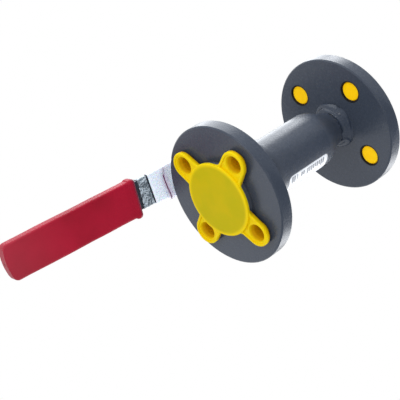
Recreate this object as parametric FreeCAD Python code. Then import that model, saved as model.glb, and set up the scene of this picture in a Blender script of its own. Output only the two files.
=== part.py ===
import FreeCAD, Part
import math
import os

from FreeCAD import Vector

os.makedirs("parts", exist_ok=True)

# Size of the valve: nominal bore 15 mm, all lengths in millimetres.
# The pipe axis is X, the stem axis is Z, and the ball's centre is the origin.
bore_d = 15.0
pipe_od = 21.3
face_to_face = 125.0
body_od = 38.0
body_wall = 2.9
body_tube_len = 86.0
swage_len = 19.0
swaged_wall = 1.7

# Flanges
flange_od = 95.0
flange_thk = 10.0
raised_face_d = 45.0
raised_face_h = 2.0
bolt_circle_d = 65.0
bolt_hole_d = 14.0
bolt_count = 4
flange_chamfer = 0.8
pipe_recess = 4.0
weld_leg = 5.4
seam_leg = 1.6
saddle_weld = 3.0

# Ball, seats and springs
ball_d = 25.0
seat_od = 24.4
seat_front = 7.0
seat_len = 6.4
carrier_front = 8.2
carrier_len = 11.8
carrier_pocket_floor = 0.05
seal_section = 2.5
spring_thk = 0.9
spring_height = 2.3
spring_bore_d = 17.0

# Stem and its housing
stem_d = 10.0
thread_proud = 1.4
collar_d = 11.9
collar_thk = 2.8
tang_thk = 5.9
tang_w = 9.0
tang_depth = 3.2
washer_thk = 1.3
spigot_od = 15.0
housing_od = 23.0
housing_top = 76.5
housing_head_len = 16.0
housing_neck_d = 20.0
housing_neck_len = 30.0
bush_od = 13.2
bush_len = 6.0
o_ring_section = 1.9
o_ring_drop = 14.0
o_ring_pitch = 8.0
stop_pin_d = 3.0
stop_pin_radius = 8.75
stop_pin_angle = 135.0
stop_pin_depth = 8.0

# Lever and its fixings
lever_thk = 4.0
lever_w = 20.0
hub_d = 28.0
lever_len = 157.0
lever_rise = 10.6
bend_x = 16.0
lever_end_corner = 5.0
hub_blend = 12.0
flats_w = 8.1
thread_d = 8.0
spring_washer_od = 14.0
spring_washer_thk = 1.8
spring_washer_split = 0.8
nut_af = 13.0
nut_thk = 6.5
turn_deg = 90.0

# Grip
grip_start = 64.0
grip_end = 167.0
grip_w = 25.4
grip_thk = 8.2
grip_corner = 3.0
grip_crown = 2.1
grip_edge = 1.8
bead_len = 3.6
bead_height = 1.0

# Flange protectors
cap_disc_d = 50.0
cap_disc_thk = 1.9
cap_disc_edge = 0.7
cap_boss_d = 44.0
cap_boss_wall = 2.0
ear_d = 18.0
ear_height = 2.9
ear_root_w = 21.0
ear_root_blend = 4.0
ear_edge = 0.8
ear_lip_w = 1.7
ear_floor_drop = 0.8
ear_mouth = 1.5
ear_mouth_depth = 3.2
plug_d = 13.2
plug_wall = 1.9
plug_short = 0.8
plug_tip_edge = 0.4
plug_floor = 2.6
rib_d = 0.9
rib_count = 6

# Papers and films
label_len = 39.0
label_thk = 0.15
label_low_angle = 175.0
label_sweep_angle = 75.0
leaflet_start = 20.0
leaflet_end = 52.6
leaflet_wall = 1.3
bag_start = 18.5
bag_end = 53.8
film_thk = 0.3
tape_end = 62.0

# Clearances
turning_gap = 0.05
slot_gap = 0.05
seat_gap = 0.1
bore_gap = 0.15
film_gap = 0.12
plug_gap = 0.05
stop_gap = 0.1
lever_gap = 0.5

# Worked out
bore_r = bore_d / 2
pipe_r = pipe_od / 2
body_r = body_od / 2
taper_end = body_tube_len / 2
taper_start = taper_end - swage_len
body_in_r = body_r - body_wall
ball_r = ball_d / 2
flange_r = flange_od / 2
half_face = face_to_face / 2
rim_x = half_face - raised_face_h
flange_back = rim_x - flange_thk
pipe_end = half_face - pipe_recess
seat_back = seat_front + seat_len
carrier_back = carrier_front + carrier_len
spring_back = carrier_back + spring_height
stem_r = stem_d / 2
stem_bore_r = stem_r + turning_gap
slot_floor = bore_r + 1.5
tang_bottom = slot_floor + 2 * slot_gap
collar_bottom = tang_bottom + tang_depth + 0.6
collar_top = collar_bottom + collar_thk
washer_top = collar_top + washer_thk + turning_gap
spigot_bottom = ball_r + 0.9
shoulder_z = housing_top + lever_gap
hub_top = shoulder_z + lever_thk
nut_bottom = hub_top + spring_washer_thk
stem_top = nut_bottom + nut_thk + thread_proud
bar_mid_z = shoulder_z + lever_thk / 2
ear_top = half_face + ear_height
ear_floor = ear_top - ear_floor_drop

X = Vector(1, 0, 0)
Y = Vector(0, 1, 0)
Z = Vector(0, 0, 1)
ORIGIN = Vector(0, 0, 0)


def turned(points, axis=X):
    """A ring or shaft turned about an axis from (along, radius) points."""
    across = Z if axis == X else X
    corners = [axis * a + across * r for a, r in points]
    wire = Part.makePolygon(corners + [corners[0]])
    return Part.Face(wire).revolve(ORIGIN, axis, 360)


def cylinder(d, start, end, axis=X, centre=ORIGIN):
    return Part.makeCylinder(d / 2, end - start, centre + axis * start, axis)


def bolt_places():
    """Centres of the bolt holes in the YZ plane, straddling the stem's plane."""
    for i in range(bolt_count):
        a = math.radians(45 + 360 / bolt_count * i)
        yield Vector(0, math.cos(a), math.sin(a)) * (bolt_circle_d / 2)


def other_end(shape):
    """The same piece at the valve's other end, turned half round the stem axis."""
    copy = shape.copy()
    copy.rotate(ORIGIN, Z, 180)
    return copy


def fillet_where(shape, radius, test):
    edges = [e for e in shape.Edges if test(e)]
    return shape.makeFillet(radius, edges)


def chamfer_where(shape, size, test):
    edges = [e for e in shape.Edges if test(e)]
    return shape.makeChamfer(size, edges)


def swage_curve(start, end, r_start, r_end):
    """The S-shaped line of a tube end pressed down to a smaller one."""
    length = end - start
    curve = Part.BezierCurve()
    curve.setPoles([
        Vector(start, 0, r_start),
        Vector(start + 0.32 * length, 0, r_start),
        Vector(start + 0.66 * length, 0, r_end),
        Vector(end, 0, r_end),
    ])
    return curve.toShape()


def revolved_tube_half(straight_end, taper_to, end_x, r_big, r_small):
    """Solid under the line of one half of the swaged tube, from the middle to its end."""
    swage = swage_curve(straight_end, taper_to, r_big, r_small)
    lines = [
        Part.makeLine(Vector(0, 0, 0), Vector(0, 0, r_big)),
        Part.makeLine(Vector(0, 0, r_big), Vector(straight_end, 0, r_big)),
        swage,
    ]
    if end_x > taper_to:
        lines.append(Part.makeLine(Vector(taper_to, 0, r_small), Vector(end_x, 0, r_small)))
    lines.append(Part.makeLine(Vector(end_x, 0, r_small), Vector(end_x, 0, 0)))
    lines.append(Part.makeLine(Vector(end_x, 0, 0), Vector(0, 0, 0)))
    return Part.Face(Part.Wire(lines)).revolve(ORIGIN, X, 360)


def make_body_tube():
    """One piece of pipe with both ends pressed down over the connecting pipes."""
    end_r = pipe_r + swaged_wall
    outside = revolved_tube_half(taper_start, taper_end, taper_end, body_r, end_r)
    inside = revolved_tube_half(
        taper_start - 1.5, taper_end - 3.0, taper_end + 1.0, body_in_r, pipe_r + turning_gap)
    half = outside.cut(inside)
    body = half.fuse(other_end(half)).removeSplitter()
    stem_hole = cylinder(spigot_od + 2 * turning_gap, 0, body_od, Z)
    return body.cut(stem_hole)


def make_connecting_pipe():
    """The pipe stub that backs the seat spring and carries the flange."""
    pipe = cylinder(pipe_od, spring_back, pipe_end).cut(cylinder(bore_d, 0, half_face))
    return chamfer_where(pipe, 0.6, lambda e: e.BoundBox.XMin > pipe_end - 0.01 and e.Length > 3 * pipe_od)


def make_flange():
    """Plate flange with a raised face, on the connecting pipe."""
    profile = [
        (flange_back, pipe_r + turning_gap),
        (flange_back, flange_r - flange_chamfer),
        (flange_back + flange_chamfer, flange_r),
        (rim_x - flange_chamfer, flange_r),
        (rim_x, flange_r - flange_chamfer),
        (rim_x, raised_face_d / 2 + raised_face_h / 2),
        (half_face, raised_face_d / 2),
        (half_face, pipe_r + turning_gap),
    ]
    flange = turned(profile)
    for place in bolt_places():
        flange = flange.cut(cylinder(bolt_hole_d, flange_back - 1, half_face + 1, X, place))
    return flange


def make_flange_weld():
    """Fillet behind the flange, bead inside its face, and the seam at the swaged end."""
    toe = pipe_r + weld_leg
    start = flange_back - weld_leg
    sag = 0.12 * weld_leg
    arc = Part.Arc(
        Vector(start, 0, pipe_r),
        Vector(flange_back - weld_leg / 2 - sag, 0, pipe_r + weld_leg / 2 + sag),
        Vector(flange_back, 0, toe)).toShape()
    back = Part.makeLine(Vector(flange_back, 0, toe), Vector(flange_back, 0, pipe_r))
    foot = Part.makeLine(Vector(flange_back, 0, pipe_r), Vector(start, 0, pipe_r))
    fillet = Part.Face(Part.Wire([arc, back, foot])).revolve(ORIGIN, X, 360)
    bead = turned([
        (pipe_end, bore_r + 0.7),
        (pipe_end, pipe_r),
        (pipe_end + 0.7 * pipe_recess, pipe_r),
    ])
    seam = turned([
        (taper_end, pipe_r),
        (taper_end, pipe_r + swaged_wall),
        (taper_end + 0.5 * seam_leg, pipe_r + 0.7 * swaged_wall),
        (taper_end + seam_leg, pipe_r),
    ])
    return Part.makeCompound([fillet, bead, seam])


def make_ball():
    """Full-bore ball with a slot across its top for the stem's tang."""
    ball = Part.makeSphere(ball_r)
    ball = ball.cut(cylinder(bore_d, -ball_r, ball_r))
    slot_w = tang_thk + 2 * slot_gap
    slot = Part.makeBox(slot_w, ball_d, ball_r, Vector(-slot_w / 2, -ball_r, slot_floor))
    return ball.cut(slot)


def make_seat():
    """Soft ring whose face is ground to the ball."""
    seat = turned([
        (seat_front, bore_r), (seat_front, seat_od / 2 - 0.6), (seat_front + 0.6, seat_od / 2),
        (seat_back, seat_od / 2), (seat_back, bore_r)])
    return seat.cut(Part.makeSphere(ball_r + seat_gap))


def seal_groove():
    """Middle and floor radius of the seal's groove in the seat carrier."""
    middle = (seat_back + carrier_back) / 2 + 0.5
    floor_r = body_in_r - bore_gap - seal_section
    return middle, floor_r


def make_seat_carrier():
    """Steel ring that holds the soft seat and slides in the body."""
    outer = body_in_r - bore_gap
    pocket = seat_od / 2 + bore_gap
    floor = seat_back + carrier_pocket_floor
    middle, groove_r = seal_groove()
    half = seal_section / 2 + 0.2
    return turned([
        (carrier_front, pocket), (carrier_front, outer - 0.8), (carrier_front + 0.8, outer),
        (middle - half, outer), (middle - half, groove_r), (middle + half, groove_r),
        (middle + half, outer), (carrier_back, outer), (carrier_back, bore_r),
        (floor, bore_r), (floor, pocket)])


def make_seat_seal():
    middle, groove_r = seal_groove()
    centre = X * middle
    minor = seal_section / 2
    return Part.makeTorus(groove_r + minor + turning_gap, minor, centre, X)


def make_disc_spring():
    """Coned washer between the seat carrier and the connecting pipe."""
    outer = body_in_r - 4 * bore_gap
    inner = spring_bore_d / 2
    return turned([
        (carrier_back, outer), (carrier_back + spring_thk, outer),
        (spring_back, inner), (spring_back - spring_thk, inner)])


def make_stem():
    """Tang, blow-out collar, seal grooves, lever flats and thread root on one turned stem."""
    stem = cylinder(stem_d, collar_top, shoulder_z, Z)
    collar = chamfer_where(
        cylinder(collar_d, collar_bottom, collar_top, Z), 0.4,
        lambda e: e.BoundBox.ZMax < collar_bottom + 0.01 and e.Length > 10)
    tang = Part.makeBox(
        tang_thk, tang_w, collar_bottom - tang_bottom + 1, Vector(-tang_thk / 2, -tang_w / 2, tang_bottom))
    tang = tang.common(cylinder(collar_d, 0, collar_top, Z))
    head = cylinder(stem_d - 0.2, shoulder_z, hub_top, Z)
    flats = Part.makeBox(stem_d, flats_w, lever_thk, Vector(-stem_r, -flats_w / 2, shoulder_z))
    thread = chamfer_where(
        cylinder(thread_d, hub_top, stem_top, Z), 0.9,
        lambda e: e.BoundBox.ZMin > stem_top - 0.01)
    stem = stem.fuse([collar, tang, head.common(flats), thread]).removeSplitter()
    for level in o_ring_levels():
        groove = turned(
            [(level - 1.2, stem_r - o_ring_section), (level - 1.2, stem_r + 1),
             (level + 1.2, stem_r + 1), (level + 1.2, stem_r - o_ring_section)], Z)
        stem = stem.cut(groove)
    return stem


def o_ring_levels():
    top = housing_top - bush_len - o_ring_drop
    return [top, top - o_ring_pitch]


def make_stem_o_rings():
    minor = (o_ring_section - turning_gap) / 2
    major = stem_r - o_ring_section + minor + turning_gap / 4
    rings = [Part.makeTorus(major, minor, Z * level, Z) for level in o_ring_levels()]
    return Part.makeCompound(rings)


def make_thrust_washer():
    ring = cylinder(collar_d, collar_top + turning_gap / 2, washer_top - turning_gap / 2, Z)
    return ring.cut(cylinder(2 * stem_bore_r, 0, washer_top + 1, Z))


def make_stem_housing():
    """Turned tower, coped to sit on the body, with a spigot through the body's wall."""
    waist_top = housing_top - housing_head_len
    waist_bottom = waist_top - housing_neck_len
    tower = turned([
        (0, 0), (0, housing_od / 2), (waist_bottom - 1.5, housing_od / 2),
        (waist_bottom, housing_neck_d / 2), (waist_top, housing_neck_d / 2),
        (waist_top + 1.5, housing_od / 2), (housing_top - 0.8, housing_od / 2),
        (housing_top, housing_od / 2 - 0.8), (housing_top, 0)], Z)
    tower = tower.cut(cylinder(body_od, -housing_od, housing_od))
    tower = tower.fuse(cylinder(spigot_od, spigot_bottom, body_r + 1, Z)).removeSplitter()
    tower = tower.cut(cylinder(2 * stem_bore_r, 0, housing_top + 1, Z))
    tower = tower.cut(cylinder(collar_d + 4 * turning_gap, 0, washer_top, Z))
    tower = tower.cut(cylinder(bush_od + 2 * turning_gap, housing_top - bush_len, housing_top + 1, Z))
    return tower.cut(stop_pin_cylinder(stop_pin_d + 2 * turning_gap, -stop_pin_depth - 0.2, 1))


def make_housing_weld():
    """Fillet that follows the saddle line between the housing and the body."""
    pipe = cylinder(body_od, -housing_od, housing_od)
    tower = cylinder(housing_od, 0, body_r + 2 * saddle_weld, Z)
    joined = pipe.fuse(tower)
    saddle = [e for e in joined.Edges
              if e.BoundBox.ZMin > 0 and e.BoundBox.ZMax < body_r + 0.5 and e.BoundBox.YLength > 1]
    return joined.makeFillet(saddle_weld, saddle).cut(pipe).cut(tower)


def stop_pin_cylinder(d, low, high):
    a = math.radians(stop_pin_angle)
    place = Vector(math.cos(a), math.sin(a), 0) * stop_pin_radius
    return cylinder(d, housing_top + low, housing_top + high, Z, place)


def make_stop_pin():
    pin = stop_pin_cylinder(stop_pin_d, -stop_pin_depth, lever_gap + lever_thk)
    return chamfer_where(pin, 0.4, lambda e: e.BoundBox.ZLength < 0.01)


def make_stem_bush():
    bush = cylinder(bush_od, housing_top - bush_len, housing_top + lever_gap - 0.1, Z)
    return bush.cut(cylinder(2 * stem_bore_r, 0, housing_top + 1, Z))


def raised(shape):
    """Tilts a piece made flat along the hub's plane to the lever's rising part."""
    shape = shape.copy()
    shape.rotate(Vector(bend_x, 0, bar_mid_z), Y, -lever_rise)
    return shape


def lever_side_slab():
    """The lever's side line, level at the hub and rising outward, as wide as the hub."""
    slope = math.tan(math.radians(lever_rise))
    lean = lever_thk / 2 * math.tan(math.radians(lever_rise / 2))
    rise = (lever_len - bend_x) * slope
    grow = lever_thk / 2 / math.cos(math.radians(lever_rise))
    points = [
        Vector(-hub_d, 0, bar_mid_z - lever_thk / 2),
        Vector(bend_x + lean, 0, bar_mid_z - lever_thk / 2),
        Vector(lever_len, 0, bar_mid_z + rise - grow),
        Vector(lever_len, 0, bar_mid_z + rise + grow),
        Vector(bend_x - lean, 0, bar_mid_z + lever_thk / 2),
        Vector(-hub_d, 0, bar_mid_z + lever_thk / 2),
    ]
    slab = Part.Face(Part.makePolygon(points + [points[0]])).extrude(Y * hub_d)
    slab.translate(Y * (-hub_d / 2))
    return slab


def lever_outline():
    """Round hub running into a straight bar with rounded end corners."""
    low = bar_mid_z - lever_thk
    high = bar_mid_z + lever_thk + lever_len * math.tan(math.radians(lever_rise))
    hub = cylinder(hub_d, low, high, Z)
    bar = Part.makeBox(lever_len, lever_w, high - low, Vector(0, -lever_w / 2, low))
    bar = fillet_where(bar, lever_end_corner, lambda e: e.BoundBox.XMin > lever_len - 1 and e.BoundBox.ZLength > 1)
    plan = hub.fuse(bar).removeSplitter()
    return fillet_where(
        plan, hub_blend,
        lambda e: e.BoundBox.ZLength > lever_thk and e.BoundBox.XLength < 0.1 and 2 < e.BoundBox.XMin < hub_d)


def make_lever():
    """Flat steel lever with a stop segment cut from its hub's rim and flats for the stem."""
    lever = lever_side_slab().common(lever_outline())
    low = shoulder_z - lever_thk
    deep = 3 * lever_thk
    across = flats_w + 2 * slot_gap
    hole = Part.makeBox(hub_d, across, deep, Vector(-hub_d / 2, -across / 2, low))
    hole = hole.common(cylinder(stem_d, low, low + deep, Z))
    lever = lever.cut(hole)
    side = math.degrees(math.asin((stop_pin_d / 2 + stop_gap) / stop_pin_radius))
    inner = stop_pin_radius - stop_pin_d / 2 - stop_gap
    sector = Part.makeCylinder(hub_d, deep, Z * low, Z, turn_deg + 2 * side)
    sector.rotate(ORIGIN, Z, stop_pin_angle - side)
    sector = sector.cut(cylinder(2 * inner, low, low + deep, Z))
    return lever.cut(sector)


def make_spring_washer():
    ring = cylinder(spring_washer_od, hub_top, nut_bottom, Z)
    ring = ring.cut(cylinder(thread_d + 0.4, 0, stem_top, Z))
    split = Part.makeBox(
        spring_washer_od, spring_washer_split, 4 * spring_washer_thk,
        Vector(0, -spring_washer_split / 2, hub_top - spring_washer_thk))
    split.rotate(Vector(thread_d / 2, 0, hub_top), X, 25)
    return ring.cut(split)


def make_lever_nut():
    corner = nut_af / math.sqrt(3)
    corners = [Vector(corner * math.cos(math.radians(60 * i + 30)), corner * math.sin(math.radians(60 * i + 30)),
                      nut_bottom) for i in range(7)]
    nut = Part.Face(Part.makePolygon(corners)).extrude(Z * nut_thk)
    middle = nut_bottom + nut_thk / 2
    crown = turned([
        (nut_bottom, 0), (nut_bottom, nut_af / 2), (nut_bottom + 0.6, corner), (middle, corner),
        (nut_bottom + nut_thk - 0.6, corner), (nut_bottom + nut_thk, nut_af / 2),
        (nut_bottom + nut_thk, 0)], Z)
    return nut.common(crown).cut(cylinder(thread_d + 2 * turning_gap, 0, stem_top + 1, Z))


def rounded_bar(start, end, width, thk, edge):
    """A flat bar about the lever's line with its long edges rounded."""
    bar = Part.makeBox(
        end - start, width, thk, Vector(start, -width / 2, bar_mid_z - thk / 2))
    return fillet_where(bar, edge, lambda e: e.BoundBox.XLength > end - start - 0.01)


def make_lever_grip():
    """Dip-moulded sleeve: crowned closed end, rolled bead at the mouth, lever pocket inside."""
    low = bar_mid_z - grip_thk / 2
    body = Part.makeBox(
        grip_end - grip_start, grip_w, grip_thk, Vector(grip_start, -grip_w / 2, low))
    crown_r = (grip_w / 2) ** 2 / (2 * grip_crown) + grip_crown / 2
    crown = Part.makeCylinder(crown_r, grip_thk, Vector(grip_end - crown_r, 0, low), Z)
    end_block = Part.makeBox(
        crown_r, grip_w, grip_thk, Vector(grip_end - crown_r, -grip_w / 2, low)).common(crown)
    body = body.cut(Part.makeBox(
        crown_r, grip_w, grip_thk, Vector(grip_end - crown_r, -grip_w / 2, low))).fuse(end_block)
    body = body.removeSplitter()
    body = fillet_where(
        body, grip_corner, lambda e: e.BoundBox.XMin > grip_end - grip_crown - 1 and e.BoundBox.ZLength > 1)
    body = fillet_where(
        body, grip_edge,
        lambda e: e.BoundBox.ZLength < 0.1 and e.BoundBox.XMax > grip_start + 1)
    bead = Part.makeBox(
        bead_len, grip_w + 2 * bead_height, grip_thk + 2 * bead_height,
        Vector(grip_start, -grip_w / 2 - bead_height, bar_mid_z - grip_thk / 2 - bead_height))
    bead = fillet_where(bead, grip_edge + bead_height, lambda e: e.BoundBox.XLength > bead_len - 0.01)
    bead = fillet_where(bead, bead_height - 0.1, lambda e: e.BoundBox.XLength < 0.01)
    grip = body.fuse(bead).removeSplitter()
    reach = (lever_len - bend_x) / math.cos(math.radians(lever_rise)) + bend_x
    pocket = Part.makeBox(
        reach + 0.6 - grip_start + 1, lever_w + 2 * film_gap, lever_thk + 2 * film_gap,
        Vector(grip_start - 1, -lever_w / 2 - film_gap, bar_mid_z - lever_thk / 2 - film_gap))
    return raised(grip.cut(pocket))


def wrapped_sleeve(start, end, gap, wall):
    """Flat tube round the lever's bar, a gap off it and a wall thick."""
    width = lever_w + 2 * gap
    thk = lever_thk + 2 * gap
    outer = rounded_bar(start, end, width + 2 * wall, thk + 2 * wall, min(wall + gap, thk / 2 + wall - 0.1))
    inner = rounded_bar(start - 1, end + 1, width, thk, min(0.9 * gap + 0.1, thk / 2 - 0.1))
    return raised(outer.cut(inner))


def make_instruction_leaflet():
    return wrapped_sleeve(leaflet_start, leaflet_end, film_gap, leaflet_wall)


def make_leaflet_bag():
    return wrapped_sleeve(bag_start, bag_end, leaflet_wall + 2 * film_gap, film_thk)


def make_bag_tape():
    return wrapped_sleeve(bag_end + film_gap, tape_end, film_gap, film_thk)


def make_body_label():
    """Paper label bent round the body tube."""
    ring = cylinder(body_od + 2 * label_thk, -label_len / 2, label_len / 2)
    ring = ring.cut(cylinder(body_od, -label_len, label_len))
    wedge = Part.makeCylinder(body_od, label_len, X * (-label_len / 2), X, label_sweep_angle)
    wedge.rotate(ORIGIN, X, label_low_angle - 90)
    return ring.common(wedge)


def ear_shape(place, lobe_d, root_w, start, end):
    """One ear: a round lobe whose sides spread slightly to its root at the disc."""
    lobe = cylinder(lobe_d, start, end, X, place)
    reach = bolt_circle_d / 2
    corners = [
        Vector(start, 0, -root_w / 2), Vector(start, reach, -lobe_d / 2),
        Vector(start, reach, lobe_d / 2), Vector(start, 0, root_w / 2)]
    web = Part.Face(Part.makePolygon(corners + [corners[0]])).extrude(X * (end - start))
    web.rotate(ORIGIN, X, math.degrees(math.atan2(place.z, place.y)))
    return lobe.fuse(web).removeSplitter()


def on_disc_rim(edge):
    """True for the upright edges where an ear's side meets the disc."""
    centre = edge.BoundBox.Center
    radius = math.hypot(centre.y, centre.z)
    return edge.BoundBox.XLength > 1 and abs(radius - cap_disc_d / 2) < 0.05


def make_ears():
    """The four ears: straight legs to the boss, tops blended into the disc, floors sunk in a lip."""
    tops = cylinder(cap_disc_d, half_face, ear_top)
    for place in bolt_places():
        tops = tops.fuse(ear_shape(place, ear_d, ear_root_w, half_face, ear_top))
    tops = fillet_where(tops.removeSplitter(), ear_root_blend, on_disc_rim)
    tops = fillet_where(tops, ear_edge, lambda e: e.BoundBox.XMin > ear_top - 0.01)
    ears = tops.cut(cylinder(2 * cap_disc_d, half_face - 1, ear_floor))
    for place in bolt_places():
        leg = ear_shape(place, ear_d, ear_root_w, half_face, ear_floor)
        sunk = ear_shape(place, ear_d - 2 * ear_lip_w, ear_root_w - 2 * ear_lip_w, ear_floor, ear_top + 1)
        ears = ears.fuse(leg).cut(sunk)
    return ears.cut(cylinder(cap_boss_d - 2 * cap_boss_wall, half_face - 1, ear_top + 1))


def plug_ribs(place):
    """Small crush ribs that centre the plug in the bolt hole."""
    reach = bolt_hole_d / 2 - plug_gap
    ribs = []
    for i in range(rib_count):
        a = math.radians(360 / rib_count * i)
        centre = place + Vector(0, math.cos(a), math.sin(a)) * (reach - rib_d / 2)
        ribs.append(cylinder(rib_d, flange_back + 2 * plug_short, rim_x, X, centre))
    return ribs


def make_flange_cap():
    """Moulded protector: thin disc on a low boss, four ears, and a hollow plug in each bolt hole."""
    disc = fillet_where(
        cylinder(cap_disc_d, ear_floor, ear_floor + cap_disc_thk), cap_disc_edge,
        lambda e: e.BoundBox.XMin > ear_floor + cap_disc_thk - 0.01)
    boss = cylinder(cap_boss_d, half_face, ear_floor)
    boss = boss.cut(cylinder(cap_boss_d - 2 * cap_boss_wall, half_face - 1, ear_floor))
    cap = make_ears().fuse([disc, boss])
    plug_end = flange_back + plug_short
    hollow_d = plug_d - 2 * plug_wall
    for place in bolt_places():
        plug = chamfer_where(
            cylinder(plug_d, plug_end, ear_floor, X, place), plug_tip_edge,
            lambda e: e.BoundBox.XMax < plug_end + 0.01)
        hollow = cylinder(hollow_d, plug_end + plug_floor, ear_top + 1, X, place)
        mouth = Part.makeCone(
            hollow_d / 2, hollow_d / 2 + ear_mouth, ear_mouth_depth, place + X * (ear_floor - ear_mouth_depth), X)
        cap = cap.fuse([plug] + plug_ribs(place)).cut(hollow).cut(mouth)
    return cap.removeSplitter()


def export(name, shape):
    shape.exportStep("parts/" + name + ".step")


def main():
    for name, maker in (
            ("pipe", make_connecting_pipe), ("flange", make_flange), ("flange_weld", make_flange_weld),
            ("seat", make_seat), ("seat_carrier", make_seat_carrier), ("seat_seal", make_seat_seal),
            ("disc_spring", make_disc_spring), ("cap", make_flange_cap)):
        front = maker()
        export("front_" + name, front)
        export("rear_" + name, other_end(front))
    for name, maker in (
            ("body_tube", make_body_tube), ("stem_housing", make_stem_housing),
            ("housing_weld", make_housing_weld), ("thrust_washer", make_thrust_washer),
            ("stem_bush", make_stem_bush), ("stop_pin", make_stop_pin), ("ball", make_ball),
            ("stem", make_stem), ("stem_o_rings", make_stem_o_rings), ("lever", make_lever),
            ("spring_washer", make_spring_washer), ("lever_nut", make_lever_nut),
            ("lever_grip", make_lever_grip), ("instruction_leaflet", make_instruction_leaflet),
            ("leaflet_bag", make_leaflet_bag), ("bag_tape", make_bag_tape),
            ("body_label", make_body_label)):
        export(name, maker())


main()
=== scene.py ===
import math

import bpy
from mathutils import Matrix, Vector, noise


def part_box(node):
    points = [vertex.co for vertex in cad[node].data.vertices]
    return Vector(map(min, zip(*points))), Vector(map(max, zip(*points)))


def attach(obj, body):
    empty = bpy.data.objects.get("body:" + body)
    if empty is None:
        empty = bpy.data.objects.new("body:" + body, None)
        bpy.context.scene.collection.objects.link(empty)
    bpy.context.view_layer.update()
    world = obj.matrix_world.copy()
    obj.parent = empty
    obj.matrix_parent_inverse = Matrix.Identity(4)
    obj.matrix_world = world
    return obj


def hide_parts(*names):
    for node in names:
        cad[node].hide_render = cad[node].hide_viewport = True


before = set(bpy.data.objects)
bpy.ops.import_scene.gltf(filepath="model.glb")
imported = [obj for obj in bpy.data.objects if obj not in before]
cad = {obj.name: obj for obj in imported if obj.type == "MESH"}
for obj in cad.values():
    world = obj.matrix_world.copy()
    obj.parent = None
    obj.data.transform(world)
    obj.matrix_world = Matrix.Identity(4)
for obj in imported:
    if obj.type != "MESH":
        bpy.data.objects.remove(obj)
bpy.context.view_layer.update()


# Body and stem housing
# A steel tube swaged down at both ends, with a turned tower welded on it, under one
# coat of satin grey-blue enamel. The coat is slightly uneven, duller over the swaged
# stretches, and thin and lighter along sharp edges.

class Wire:
    """One output in a material's graph; arithmetic on it adds Math nodes."""

    def __init__(self, finish, socket):
        self.finish = finish
        self.socket = socket

    def math(self, operation, *values):
        return self.finish.node("Math", {"operation": operation}, [self, *values])

    def __add__(self, other):
        return self.math("ADD", other)

    def __sub__(self, other):
        return self.math("SUBTRACT", other)

    def __mul__(self, other):
        return self.math("MULTIPLY", other)

    def __truediv__(self, other):
        return self.math("DIVIDE", other)

    def __rsub__(self, other):
        return self * -1.0 + other

    def size(self):
        return self.math("ABSOLUTE")

    def wave(self):
        """A sine of the value, brought to 0 to 1."""
        return self.math("SINE") * 0.5 + 0.5

    def rise(self, low, high):
        """0 below low and 1 above high, with a smooth step between."""
        return self.finish.node(
            "MapRange", {"interpolation_type": "SMOOTHSTEP"},
            {"Value": self, "From Min": low, "From Max": high})

    def fall(self, low, high):
        return 1.0 - self.rise(low, high)


class Finish:
    """A named material and its node graph."""

    def __init__(self, name):
        self.material = bpy.data.materials.new(name)
        self.material.use_nodes = True
        self.tree = self.material.node_tree
        self.shader = self.tree.nodes["Principled BSDF"]

    def plug(self, socket, value):
        if isinstance(value, Wire):
            self.tree.links.new(value.socket, socket)
        else:
            socket.default_value = value

    def node(self, kind, settings=None, inputs=(), output=0):
        """Adds a node of that type, with its settings and inputs, and gives one output."""
        made = self.tree.nodes.new("ShaderNode" + kind)
        for name, value in (settings or {}).items():
            setattr(made, name, value)
        named = inputs.items() if isinstance(inputs, dict) else enumerate(inputs)
        for key, value in named:
            self.plug(made.inputs[key], value)
        return Wire(self, made.outputs[output])

    def place(self):
        """The point in the part's own frame, in metres."""
        return self.node("TexCoord", output="Object")

    def axes(self):
        """X, Y and Z of that point as three values."""
        split = self.node("SeparateXYZ", inputs=[self.place()])
        return [Wire(self, output) for output in split.socket.node.outputs]

    def noise(self, scale, detail=3.0, rough=0.5, where=None):
        return self.node("TexNoise", {}, {
            "Vector": where or self.place(), "Scale": scale, "Detail": detail, "Roughness": rough})

    def mix(self, factor, low, high):
        """Colour low where factor is 0 and high where it is 1."""
        return self.node("Mix", {"data_type": "RGBA"}, {0: factor, 6: low, 7: high}, output=2)

    def bump(self, height, strength, distance, under=None):
        inputs = {"Height": height, "Strength": strength, "Distance": distance}
        if under:
            inputs["Normal"] = under
        return self.node("Bump", {}, inputs)

    def soft_edges(self, radius):
        """The normal of a surface whose sharp edges are rounded by a small radius."""
        return self.node("Bevel", {"samples": 4}, {"Radius": radius})

    def edge_wear(self, radius):
        """Near 1 along sharp edges and 0 on flat stretches."""
        rounded = self.soft_edges(radius)
        true = self.node("NewGeometry", output="Normal")
        agree = self.node(
            "VectorMath", {"operation": "DOT_PRODUCT"}, [rounded, true], output="Value")
        return agree.fall(0.90, 0.995)

    def surface(self, values):
        """Sets the surface's own inputs by name."""
        for name, value in values.items():
            self.plug(self.shader.inputs[name], value)
        return self.material


def rgb(red, green, blue):
    return (red, green, blue, 1.0)


def dress(material, *names):
    """Gives the named solids one material in place of their own."""
    for name in names:
        slots = cad[name].data.materials
        slots.clear()
        slots.append(material)


swage_from = 0.0225
swage_to = 0.0435
enamel_speck = rgb(0.09, 0.10, 0.12)
enamel_worn = rgb(0.15, 0.17, 0.20)


def orange_peel(paint):
    """The sprayed coat's fine and broad unevenness."""
    return paint.noise(900.0, 2.0) + paint.noise(170.0, 2.0) * 1.5


def coat_normal(paint, height):
    """The coat's surface: shallow relief, and every sharp edge rounded by the paint."""
    return paint.bump(height, 0.10, 0.0006, paint.soft_edges(0.0005))


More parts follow.
